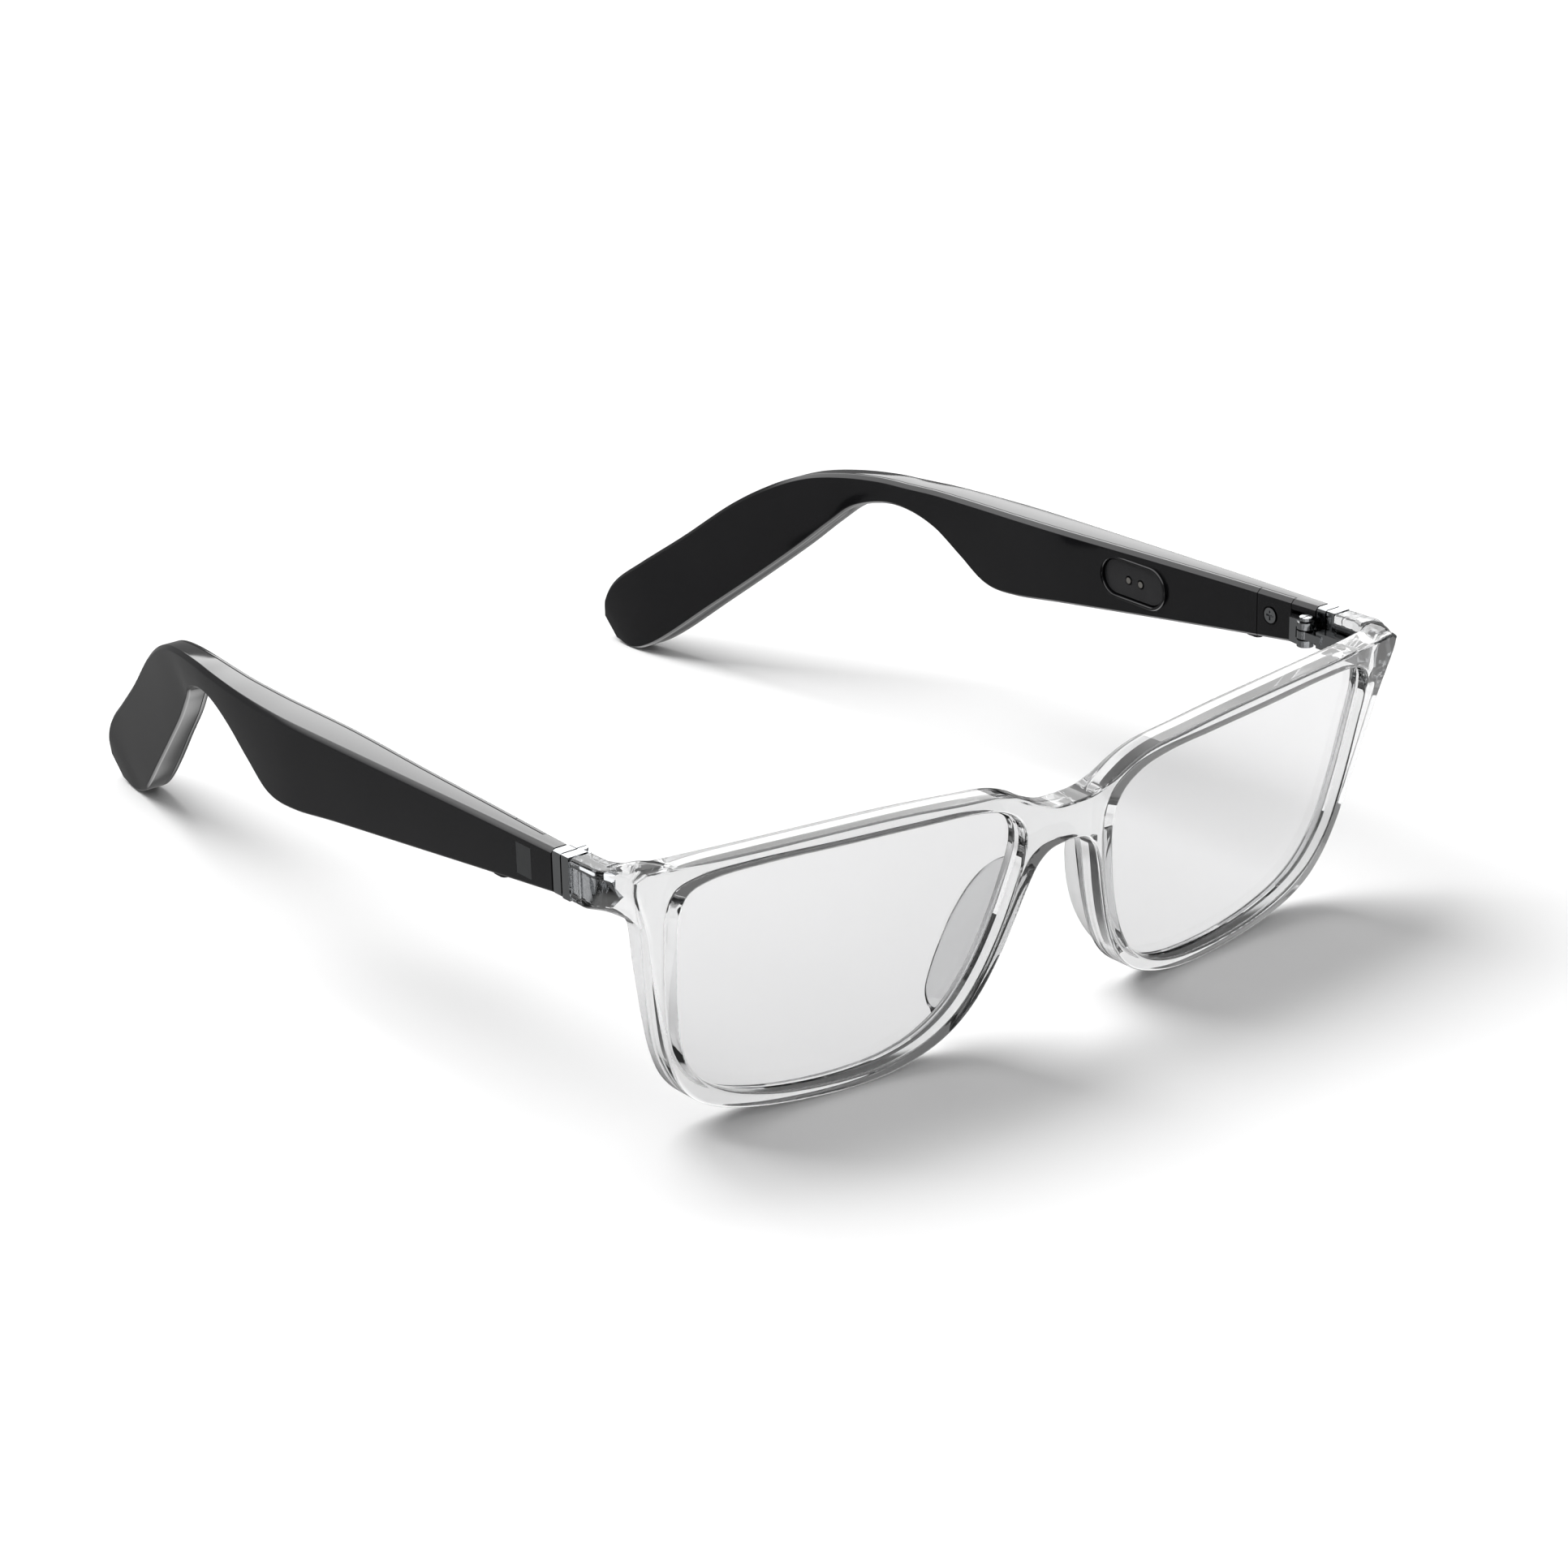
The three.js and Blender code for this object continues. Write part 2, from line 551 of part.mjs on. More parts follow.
function finish(color, roughness, metalness, opacity = 1) {
  const transparent = opacity < 1;
  return new THREE.MeshStandardMaterial({ color, roughness, metalness, opacity, transparent });
}

const CLEAR = finish(0xe9eef0, 0.05, 0, 0.35);
const LENS = finish(0x8b9092, 0.05, 0, 0.45);
const BLACK = finish(0x0b0b0d, 0.12, 0);
const CHROME = finish(0xb9bcc0, 0.15, 1);
const SATIN = finish(0x8c8f94, 0.35, 1);
const GOLD = finish(0xd0b070, 0.25, 1);
const BOARD = finish(0x14402a, 0.5, 0);
const CELL = finish(0x9a9da2, 0.4, 0.3);
const DRIVER = finish(0x2a2b2e, 0.5, 0);

const MATERIALS = {
  front_frame: CLEAR,
  lens: LENS,
  nose_pad: CLEAR,
  hinge_front_leaf: CHROME,
  hinge_temple_leaf: CHROME,
  hinge_screw: CHROME,
  cover_screw: CHROME,
  temple_end_plate: CHROME,
  temple_badge: SATIN,
  charging_contact_front: GOLD,
  charging_contact_rear: GOLD,
  circuit_board: BOARD,
  battery: CELL,
  speaker: DRIVER,
  microphone: DRIVER,
  button_switch: DRIVER,
};

// ---------- assembly ----------

function mirrorSolid(solid) {
  const geometry = geometryOf(solid).scale(-1, 1, 1);
  const index = geometry.index.array;
  for (let i = 0; i < index.length; i += 3) [index[i + 1], index[i + 2]] = [index[i + 2], index[i + 1]];
  return solidOf(geometry);
}

function part(name, solid, material) {
  const mesh = new THREE.Mesh(geometryOf(solid), material);
  mesh.name = name;
  return mesh;
}

const glasses = new THREE.Group();
glasses.add(part('front_frame', frontFrame(mirrorSolid), CLEAR));
const pairs = {
  lens: lens(),
  nose_pad: nosePad(),
  hinge_front_leaf: hingeFrontLeaf(),
  ...templePieces(),
};
for (const [name, solid] of Object.entries(pairs)) {
  const material = MATERIALS[name] ?? BLACK;
  glasses.add(part(`${name}_left`, solid, material));
  glasses.add(part(`${name}_right`, mirrorSolid(solid), material));
}

// The origin is under the middle of the whole object, on the table.
const extent = new THREE.Box3().setFromObject(glasses);
glasses.position.set(0, -(extent.min.y + extent.max.y) / 2, -extent.min.z);

export default glasses;
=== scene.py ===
import json
import math

import bmesh
import bpy
import numpy as np
from mathutils import Matrix, Vector
from mathutils.geometry import tessellate_polygon


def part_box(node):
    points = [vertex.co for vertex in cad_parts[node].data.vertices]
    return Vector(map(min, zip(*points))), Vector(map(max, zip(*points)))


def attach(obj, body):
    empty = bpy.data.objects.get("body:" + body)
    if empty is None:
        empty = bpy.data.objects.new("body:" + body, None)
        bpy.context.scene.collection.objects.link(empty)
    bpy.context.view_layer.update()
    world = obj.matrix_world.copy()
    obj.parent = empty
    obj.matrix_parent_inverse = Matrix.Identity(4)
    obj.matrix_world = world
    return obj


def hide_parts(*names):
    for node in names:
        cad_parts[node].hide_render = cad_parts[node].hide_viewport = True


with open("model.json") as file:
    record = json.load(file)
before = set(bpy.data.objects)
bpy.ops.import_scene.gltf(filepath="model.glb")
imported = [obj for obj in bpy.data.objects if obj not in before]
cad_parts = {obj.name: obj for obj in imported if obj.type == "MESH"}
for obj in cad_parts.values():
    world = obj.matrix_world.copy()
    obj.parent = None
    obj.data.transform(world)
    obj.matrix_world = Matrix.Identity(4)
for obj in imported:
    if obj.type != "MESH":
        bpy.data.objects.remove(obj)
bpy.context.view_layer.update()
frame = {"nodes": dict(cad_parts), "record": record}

# ---------- driving dimensions, in millimetres, in the design frame of the CAD part ----------

MM = 0.001
BADGE_Y, BADGE_Z = 21.8, 38.0  # where the design frame puts the badge's middle
WRAP = 303.0
TILT = math.radians(11.7)
RIM_DEPTH = 4.8
LENS_EDGE = (1.4, 3.4, -0.05)  # front and back of the lens behind the face, and growth past the opening
VOXEL = 0.18
RIM_ROUND = 0.45
HOLE_ROUND = 0.4
END_FRONT = 0.4
END_REAR = 10.9
END_BLEND = 2.2
END_START = 2.2  # depth behind the face where the end piece may begin
END_ROOT_X = (63.6, 67.6)  # sides of the end piece at its front
END_ROOT_Z = (34.6, 41.9)
PLATE_X = (67.4, 70.5)
PLATE_Z = (35.5, 41.6)
SEAM_X = 1.05  # the seam's distance from the temple's inner face
SEAM_GAP = 0.12
HINGE_COVER_Y = (19.9, 26.6)
COVER_FRONT = 26.75
TEMPLE_FRONT = 15.05
HINGE_Z = (35.7, 40.1)
SCREW_Y, SCREW_Z = 24, 38
PORT_Y, PORT_Z, PORT_LENGTH, PORT_HEIGHT = 52.6, 36.0, 13.8, 6.0
TOP_CUT = (0.62, 0.2)  # chamfer and edge radius
BOTTOM_CUT = (0.4, 0.35)
SEAM_CUT = (0.03, 0.04)
CORNER_REACH = 0.414  # tangent of 22.5 degrees: where a chamfer's edge arc starts, per unit radius
THROAT_Y = (14, 19.75)  # the hinge's notch in the temple shell
RECESS_RADIUS, RECESS_DEPTH = 1.45, 0.7  # round the cover screw
LIP_RADIUS = 0.28
WORN_EDGE = 0.08

CAMERA_PLACE = (-347.68, -392.68, 249.76)
CAMERA_TURN = (37.72, 22.11, -1.4)  # azimuth, elevation and roll in degrees
CAMERA_LENS, CAMERA_SENSOR = 95.5, 36
FLOOR_RADIUS = 0.95  # in metres, as are the flag's measures
FLAG_RADIUS, FLAG_HEIGHT = 0.34, 0.14

TEMPLE_STATIONS = [  # top edge y and z, bottom edge y and z, outer x, inner x
    (15, 41.6, 15, 35.4, 70.5, 67.4),
    (32, 41.4, 32, 33.3, 70.6, 66.6),
    (50, 41.05, 50, 31.0, 70.65, 65.7),
    (68, 40.7, 68, 28.7, 70.7, 64.6),
    (79, 40.45, 79, 27.15, 70.65, 64.3),
    (86, 40.3, 86, 27.3, 70.3, 64.2),
    (92, 40.2, 92, 30.5, 69.8, 64.0),
    (98, 40.1, 98, 33.8, 69.1, 63.7),
    (104, 39.9, 104, 35.6, 68.1, 63.0),
    (110.5, 39.7, 109.5, 35.6, 66.9, 62.2),
    (118, 38.9, 115.5, 33.7, 65.2, 60.8),
    (125.5, 37.3, 120, 30.1, 63.3, 59.1),
    (132.5, 34.4, 126, 24.8, 61.3, 57.0),
    (140.5, 29.6, 134.5, 17.9, 58.8, 54.3),
    (150, 22.3, 143.5, 10.8, 56.1, 51.2),
    (159, 15.9, 151.5, 4.5, 53.7, 48.8),
    (165.2, 11.4, 156.5, 1.3, 52.2, 47.7),
    (168.2, 7.6, 160.5, 0.05, 51.4, 47.4),
    (168.7, 4.4, 164.6, 0.5, 50.9, 47.5),
]
RIM_TOP = [
    (0, 35.9), (3.2, 36.1), (6.5, 37.3), (9.5, 39.0), (13, 40.3), (20, 41.1),
    (30, 41.9), (42, 42.2), (55, 42.2), (64, 42.15), (67, 42.1),
]
RIM_SIDE = [
    (68.2, 41.3), (68.1, 39.4), (67.4, 37), (66.2, 33.4), (65.2, 28.6), (64.1, 23.6), (62.8, 18.2),
    (61.2, 12.6), (59.2, 8.2), (56.4, 5.0), (52.4, 2.8), (46.5, 1.3), (38.5, 0.3), (31, 0),
    (25.5, 0.5), (20.8, 1.8), (17.2, 3.6), (14.2, 6.2), (11.8, 9.6), (9.6, 14.3),
    (7.8, 19.6), (6.2, 24.8), (5.0, 27.6), (3.2, 29.3), (0, 29.9),
]
LENS_OUTLINE = [
    (8.1, 31.5), (9.0, 25), (10.8, 18), (13.2, 12), (16.2, 7.4), (20.2, 4.3), (25, 2.6), (31, 2.0),
    (39, 2.3), (46, 3.4), (52, 5.4), (56, 8.3), (58.8, 12.8), (60.4, 20), (61.4, 29), (61.8, 34.5),
    (60.9, 37.8), (57.8, 39.3), (50, 39.9), (38, 39.7), (26, 39.3), (17, 38.7), (12.2, 37.4), (9.2, 35.0),
]

badge_low, badge_high = (Vector(corner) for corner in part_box("temple_badge_left"))
badge_middle = (badge_low + badge_high) / 2
OFFSET = Vector((0, badge_middle.y - BADGE_Y * MM, badge_middle.z - BADGE_Z * MM))


# ---------- mesh helpers ----------


def in_row(point):
    """A point of the design frame, in millimetres, as a point of the row frame, in metres."""
    return Vector(point) * MM + OFFSET


def make_object(name, points, faces, side):
    """A smooth-shaded mesh from points of the design frame, mirrored in x where side is -1."""
    mesh = bpy.data.meshes.new(name)
    placed = [in_row((side * p[0], p[1], p[2])) for p in points]
    if side < 0:
        faces = [tuple(reversed(f)) for f in faces]
    mesh.from_pydata(placed, [], faces)
    mesh.validate()
    mesh.update()
    piece = bpy.data.objects.new(name, mesh)
    bpy.context.collection.objects.link(piece)
    for polygon in mesh.polygons:
        polygon.use_smooth = True
    return piece


def outward(piece):
    """Turns all faces of a closed mesh outwards."""
    work = bmesh.new()
    work.from_mesh(piece.data)
    bmesh.ops.recalc_face_normals(work, faces=work.faces)
    work.to_mesh(piece.data)
    work.free()
    return piece


def apply_modifiers(piece):
    """Puts the evaluated mesh in place of the piece's own."""
    depsgraph = bpy.context.evaluated_depsgraph_get()
    mesh = bpy.data.meshes.new_from_object(piece.evaluated_get(depsgraph))
    old = piece.data
    piece.modifiers.clear()
    piece.data = mesh
    bpy.data.meshes.remove(old)
    return piece


def smooth_by_angle(piece, degrees=35):
    mesh = piece.data
    mesh.shade_smooth()
    mesh.set_sharp_from_angle(angle=math.radians(degrees))
    return piece


def catmull(points, closed, step):
    """A centripetal Catmull-Rom curve through points, resampled at an even step."""
    vectors = [Vector(p) for p in points]
    count = len(vectors)
    spans = count if closed else count - 1
    dense = []
    for i in range(spans):
        if closed:
            a, b, c, d = (vectors[(i + k - 1) % count] for k in range(4))
        else:
            b, c = vectors[i], vectors[i + 1]
            a = vectors[i - 1] if i > 0 else b * 2 - c
            d = vectors[i + 2] if i + 2 < count else c * 2 - b
        knots = [0.0]
        for p, q in ((a, b), (b, c), (c, d)):
            knots.append(knots[-1] + max((q - p).length, 1e-6) ** 0.5)
        for k in range(16):
            t = knots[1] + (knots[2] - knots[1]) * k / 16
            p1 = a.lerp(b, (t - knots[0]) / (knots[1] - knots[0]))
            p2 = b.lerp(c, (t - knots[1]) / (knots[2] - knots[1]))
            p3 = c.lerp(d, (t - knots[2]) / (knots[3] - knots[2]))
            q1 = p1.lerp(p2, (t - knots[0]) / (knots[2] - knots[0]))
            q2 = p2.lerp(p3, (t - knots[1]) / (knots[3] - knots[1]))
            dense.append(q1.lerp(q2, (t - knots[1]) / (knots[2] - knots[1])))
    dense.append(vectors[0] if closed else vectors[-1])
    lengths = [0.0]
    for p, q in zip(dense, dense[1:]):
        lengths.append(lengths[-1] + (q - p).length)
    number = max(4, round(lengths[-1] / step))
    out, at = [], 0
    for k in range(number + (0 if closed else 1)):
        target = lengths[-1] * k / number
        while at < len(lengths) - 2 and lengths[at + 1] < target:
            at += 1
        share = (target - lengths[at]) / max(lengths[at + 1] - lengths[at], 1e-9)
        out.append(dense[at].lerp(dense[at + 1], share))
    return out


def grown(loop, distance):
    """Moves a closed outline, anticlockwise in x and z, outwards."""
    out = []
    for i, point in enumerate(loop):
        along = loop[(i + 1) % len(loop)] - loop[i - 1]
        out.append(point + Vector((along.y, -along.x)).normalized() * distance)
    return out


def anticlockwise(loop):
    """The loop, reversed if it runs clockwise in x and z."""
    area = sum(a.x * b.y - b.x * a.y for a, b in zip(loop, loop[1:] + loop[:1]))
    return loop if area > 0 else loop[::-1]


def loft(rings, closed_ends=True):
    """Points and faces of a skin over rings of equal length."""
    points = [p for ring in rings for p in ring]
    count = len(rings[0])
    faces = []
    for r in range(len(rings) - 1):
        for i in range(count):
            a, b = r * count + i, r * count + (i + 1) % count
            faces.append((a, b, b + count, a + count))
    if closed_ends:
        faces.append(tuple(range(count))[::-1])
        faces.append(tuple(range((len(rings) - 1) * count, len(rings) * count)))
    return points, faces


# ---------- materials ----------


def new_material(name):
    material = bpy.data.materials.new(name)
    material.use_nodes = True
    nodes = material.node_tree.nodes
    return material, nodes, material.node_tree.links, nodes["Principled BSDF"]


def noise_of(nodes, links, scale, detail=3.0):
    place = nodes.new("ShaderNodeTexCoord")
    noise = nodes.new("ShaderNodeTexNoise")
    noise.inputs["Scale"].default_value = scale
    noise.inputs["Detail"].default_value = detail
    links.new(place.outputs["Object"], noise.inputs["Vector"])
    return noise


def ranged(nodes, links, source, low, high):
    spread = nodes.new("ShaderNodeMapRange")
    spread.inputs["To Min"].default_value = low
    spread.inputs["To Max"].default_value = high
    links.new(source, spread.inputs["Value"])
    return spread.outputs["Result"]


def tint_between(nodes, links, factor, low, high, shader):
    blend = nodes.new("ShaderNodeMix")
    blend.data_type = "RGBA"
    blend.inputs["A"].default_value = (*low, 1)
    blend.inputs["B"].default_value = (*high, 1)
    links.new(factor, blend.inputs["Factor"])
    links.new(blend.outputs["Result"], shader.inputs["Base Color"])


def bump_of(nodes, links, source, shader, strength, distance):
    bump = nodes.new("ShaderNodeBump")
    bump.inputs["Strength"].default_value = strength
    bump.inputs["Distance"].default_value = distance
    links.new(source, bump.inputs["Height"])
    links.new(bump.outputs["Normal"], shader.inputs["Normal"])


def light_passes(material, tint):
    """Lets lamps shine through a clear material, tinted, as thin clear plastic does."""
    nodes, links = material.node_tree.nodes, material.node_tree.links
    shader = nodes["Principled BSDF"]
    output = nodes["Material Output"]
    path = nodes.new("ShaderNodeLightPath")
    through = nodes.new("ShaderNodeBsdfTransparent")
    through.inputs["Color"].default_value = (*tint, 1)
    mix = nodes.new("ShaderNodeMixShader")
    links.new(path.outputs["Is Shadow Ray"], mix.inputs["Fac"])
    links.new(shader.outputs["BSDF"], mix.inputs[1])
    links.new(through.outputs["BSDF"], mix.inputs[2])
    links.new(mix.outputs["Shader"], output.inputs["Surface"])


def clear_material():
    material, nodes, links, shader = new_material("clear acetate")
    shader.inputs["IOR"].default_value = 1.47
    shader.inputs["Transmission Weight"].default_value = 1.0
    noise = noise_of(nodes, links, 60)
    tint_between(nodes, links, noise.outputs["Fac"], (0.73, 0.732, 0.735), (0.77, 0.772, 0.775), shader)
    links.new(ranged(nodes, links, noise.outputs["Fac"], 0.0, 0.03), shader.inputs["Roughness"])
    light_passes(material, (0.06, 0.06, 0.06))
    return material


def lens_material():
    material, nodes, links, shader = new_material("grey lens with painted shade low down")
    shader.inputs["IOR"].default_value = 1.35
    shader.inputs["Transmission Weight"].default_value = 1.0
    shader.inputs["Roughness"].default_value = 0.0
    # The lens's grey tint is its own colour. Its darkening towards the bottom edge, by object height from
    # 0.77 down to 0.71, is painted shade.
    place = nodes.new("ShaderNodeTexCoord")
    split = nodes.new("ShaderNodeSeparateXYZ")
    links.new(place.outputs["Object"], split.inputs["Vector"])
    height = nodes.new("ShaderNodeMapRange")
    height.inputs["From Min"].default_value = 0.002
    height.inputs["From Max"].default_value = 0.040
    links.new(split.outputs["Z"], height.inputs["Value"])
    ramp = nodes.new("ShaderNodeValToRGB")
    ramp.color_ramp.elements[0].color = (0.71, 0.71, 0.715, 1)
    ramp.color_ramp.elements[1].color = (0.77, 0.77, 0.775, 1)
    links.new(height.outputs["Result"], ramp.inputs["Fac"])
    links.new(ramp.outputs["Color"], shader.inputs["Base Color"])
    light_passes(material, (0.40, 0.40, 0.40))
    return material


def black_material():
    material, nodes, links, shader = new_material("gloss black")
    noise = noise_of(nodes, links, 90, 5.0)
    tint_between(nodes, links, noise.outputs["Fac"], (0.003, 0.003, 0.0035), (0.006, 0.006, 0.0065), shader)
    links.new(ranged(nodes, links, noise.outputs["Fac"], 0.075, 0.095), shader.inputs["Roughness"])
    shader.inputs["IOR"].default_value = 1.5
    return material


def metal_material(name, color, roughness, scale):
    material, nodes, links, shader = new_material(name)
    shader.inputs["Metallic"].default_value = 1.0
    noise = noise_of(nodes, links, scale, 6.0)
    tint_between(nodes, links, noise.outputs["Fac"], [c * 0.88 for c in color], color, shader)
    links.new(ranged(nodes, links, noise.outputs["Fac"], *roughness), shader.inputs["Roughness"])
    return material


def plain_material(name, low, high, roughness, scale, bump=0.0):
    material, nodes, links, shader = new_material(name)
    noise = noise_of(nodes, links, scale, 6.0)
    tint_between(nodes, links, noise.outputs["Fac"], low, high, shader)
    links.new(ranged(nodes, links, noise.outputs["Fac"], *roughness), shader.inputs["Roughness"])
    if bump:
        bump_of(nodes, links, noise.outputs["Fac"], shader, bump, 0.0001)
    return material


MATERIALS = {
    "clear_plastic": clear_material(),
    "tinted_lens": lens_material(),
    "gloss_black": black_material(),
    "chrome": metal_material("dark chrome", (0.42, 0.43, 0.44), (0.05, 0.13), 400),
    "satin_metal": metal_material("satin inlay", (0.20, 0.205, 0.21), (0.3, 0.42), 900),
    "port_black": plain_material(
        "port black", (0.012, 0.012, 0.013), (0.02, 0.02, 0.021), (0.16, 0.26), 500
    ),
    "contact_gold": metal_material("plated contact", (0.62, 0.60, 0.56), (0.2, 0.3), 800),
    "circuit_green": plain_material(
        "solder mask", (0.01, 0.06, 0.03), (0.02, 0.11, 0.05), (0.35, 0.5), 700, 0.3
    ),
    "cell_wrap": metal_material("foil pouch", (0.6, 0.61, 0.63), (0.3, 0.45), 300),
    "driver_black": plain_material(
        "module black", (0.02, 0.02, 0.022), (0.04, 0.04, 0.042), (0.45, 0.6), 600, 0.2
    ),
}


def dress(piece, slot, body, replaces=()):
    piece.data.materials.clear()
    piece.data.materials.append(MATERIALS[slot])
    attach(piece, body)
    if replaces:
        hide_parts(*replaces)
    return piece


# ---------- front ----------


def face_y(x, z):
    """The front face's y: a wrap about the vertical and a tilt."""
    return x * x / (2 * WRAP) - z * math.tan(TILT)


def rim_outline(step=0.5):
    half = catmull(RIM_TOP, False, step) + catmull(RIM_SIDE, False, step)
    other = [Vector((-p.x, p.y)) for p in half[1:-1][::-1]]
    return anticlockwise(half + other)


def lens_loop(step=0.8):
    return anticlockwise(catmull(LENS_OUTLINE, True, step))


def flipped(loop):
    """The loop mirrored to the other side, still anticlockwise."""
    return [Vector((-p.x, p.y)) for p in loop][::-1]


def slab_mesh(outer, holes, depth):
    """A flat slab in x, depth, z with straight holes."""
    points, faces, ends = [], [], []
    for loop in (outer, *holes):
        count, start = len(loop), len(points)
        points += [(p.x, 0, p.y) for p in loop] + [(p.x, depth, p.y) for p in loop]
        front = list(range(start, start + count))
        back = list(range(start + count, start + 2 * count))
        for i in range(count):
            j = (i + 1) % count
            faces.append((front[i], front[j], back[j], back[i]))
        ends.append((front, back))
    triangles = tessellate_polygon([[Vector((p.x, p.y, 0)) for p in loop] for loop in (outer, *holes)])
    for which in (0, 1):
        index = [i for end in ends for i in end[which]]
        faces.extend(tuple(index[i] for i in triangle) for triangle in triangles)
    return points, faces


def end_piece_sides(t):
    """Inner x, outer x, bottom z and top z of an end piece, t from its front to its rear."""
    sweep = np.sin(np.minimum(1, 2.2 * t) * math.pi / 2)
    outer = END_ROOT_X[1] + (PLATE_X[1] - END_ROOT_X[1]) * sweep
    inner = END_ROOT_X[0] + (PLATE_X[0] - 0.4 - END_ROOT_X[0]) * np.minimum(1, 1.5 * t)
    bottom = END_ROOT_Z[0] + (PLATE_Z[0] - END_ROOT_Z[0]) * np.minimum(1, 2 * t)
    top = END_ROOT_Z[1] + (PLATE_Z[1] - END_ROOT_Z[1]) * t
    return inner, outer, bottom, top


def end_piece_mesh(side):
    rings = []
    for i in range(25):
        t = i / 24
        inner, outer, bottom, top = end_piece_sides(t)
        ring = []
        for x, z in ((inner, bottom), (outer, bottom), (outer, top), (inner, top)):
            rear = END_REAR - face_y(x, z)
            ring.append((side * x, END_FRONT + (rear - END_FRONT) * t, z))
        rings.append(ring)
    return loft(rings)


class Outline:
    """Signed distance, negative inside, to a smooth closed outline that runs anticlockwise."""

    def __init__(self, loop):
        self.points = np.array([tuple(p) for p in loop])
        along = np.roll(self.points, -1, 0) - np.roll(self.points, 1, 0)
        self.along = along / np.linalg.norm(along, axis=1)[:, None]
        self.outward = np.stack([self.along[:, 1], -self.along[:, 0]], 1)

    def near(self, places):
        """The distance of each place and the direction in which it grows."""
        nearest = np.empty(len(places), int)
        size = (self.points**2).sum(1)
        for start in range(0, len(places), 4000):
            part = places[start : start + 4000]
            nearest[start : start + 4000] = (size - 2 * part @ self.points.T).argmin(1)
        step = ((places - self.points[nearest]) * self.along[nearest]).sum(1)
        beside = (nearest + np.where(step > 0, 1, -1)) % len(self.points)
        gap = np.linalg.norm(self.points[beside] - self.points[nearest], axis=1)
        share = np.clip(np.abs(step) / gap, 0, 1)[:, None]
        base = self.points[nearest] * (1 - share) + self.points[beside] * share
        outward = self.outward[nearest] * (1 - share) + self.outward[beside] * share
        outward /= np.linalg.norm(outward, axis=1)[:, None]
        return ((places - base) * outward).sum(1), outward


def both(a, b, radius):
    """The overlap of two shapes given by distances, with its edge rounded."""
    u, v = a + radius, b + radius
    return np.minimum(np.maximum(u, v), 0) + np.hypot(np.maximum(u, 0), np.maximum(v, 0)) - radius


def front_distance(x, depth, z, rim, hole):
    """Distance to the clear front, from its flat coordinates and the two outline distances."""
    slab = np.abs(depth - RIM_DEPTH / 2) - RIM_DEPTH / 2
    body = np.maximum(both(rim, slab, RIM_ROUND), both(-hole, slab, HOLE_ROUND))
    rear = END_REAR - face_y(x, z)
    inner, outer, bottom, top = end_piece_sides(np.clip((depth - END_FRONT) / (rear - END_FRONT), 0, 1))
    wide = np.abs(x - (inner + outer) / 2) - (outer - inner) / 2
    high = np.abs(z - (bottom + top) / 2) - (top - bottom) / 2
    end = np.maximum(both(both(wide, high, 0.5), depth - rear, 0.2), END_START - depth)
    end = both(end, rim - 0.7 * (depth - END_START), 0.5)
    share = np.clip(0.5 + 0.5 * (body - end) / END_BLEND, 0, 1)
    return body * (1 - share) + end * share - END_BLEND * share * (1 - share)


def settle_on_front(piece):
    """Moves a coarse skin on to the exact shape, bends it to the face and sets its normals."""
    mesh = piece.data
    places = np.empty(len(mesh.vertices) * 3)
    mesh.vertices.foreach_get("co", places)
    places = places.reshape(-1, 3)
    mirror = np.where(places[:, 0] < 0, -1.0, 1.0)
    places[:, 0] *= mirror
    rim, hole = Outline(rim_outline()), Outline(lens_loop(0.5))
    slope = None
    for _ in range(2):
        flat = places[:, ::2].copy()
        rim_near, rim_way = rim.near(flat)
        hole_near, hole_way = hole.near(flat)

        def distance(at):
            moved = at[:, ::2] - flat
            rim_at = rim_near + (moved * rim_way).sum(1)
            hole_at = hole_near + (moved * hole_way).sum(1)
            return front_distance(at[:, 0], at[:, 1], at[:, 2], rim_at, hole_at)

        for _ in range(2):
            slope = np.empty_like(places)
            for axis in range(3):
                nudge = np.zeros(3)
                nudge[axis] = 0.02
                slope[:, axis] = (distance(places + nudge) - distance(places - nudge)) / 0.04
            steep = np.maximum((slope**2).sum(1), 0.25)
            places = places - np.clip(distance(places) / steep, -0.6, 0.6)[:, None] * slope
    x, depth, z = places.T
    leaned = slope[:, 2] + slope[:, 1] * math.tan(TILT)
    normals = np.stack([slope[:, 0] - slope[:, 1] * x / WRAP, slope[:, 1], leaned], 1)
    normals /= np.linalg.norm(normals, axis=1)[:, None]
    normals[:, 0] *= mirror
    bent = np.stack([x * mirror, depth + face_y(x, z), z], 1) * MM + np.array(OFFSET)
    mesh.vertices.foreach_set("co", bent.ravel())
    mesh.update()
    mesh.shade_smooth()
    mesh.normals_split_custom_set_from_vertices(normals.tolist())


def build_front():
    hole = lens_loop(0.5)
    points, faces = slab_mesh(rim_outline(), [hole, flipped(hole)], RIM_DEPTH)
    for side in (1, -1):
        more, more_faces = end_piece_mesh(side)
        faces += [tuple(i + len(points) for i in f) for f in more_faces]
        points += more
    mesh = bpy.data.meshes.new("clear_front")
    mesh.from_pydata(points, [], faces)
    piece = bpy.data.objects.new("clear_front", mesh)
    bpy.context.collection.objects.link(piece)
    outward(piece)
    remesh = piece.modifiers.new("one skin", "REMESH")
    remesh.mode = "VOXEL"
    remesh.voxel_size = VOXEL
    apply_modifiers(piece)
    settle_on_front(piece)
    return dress(piece, "clear_plastic", "front", ["front_frame"])


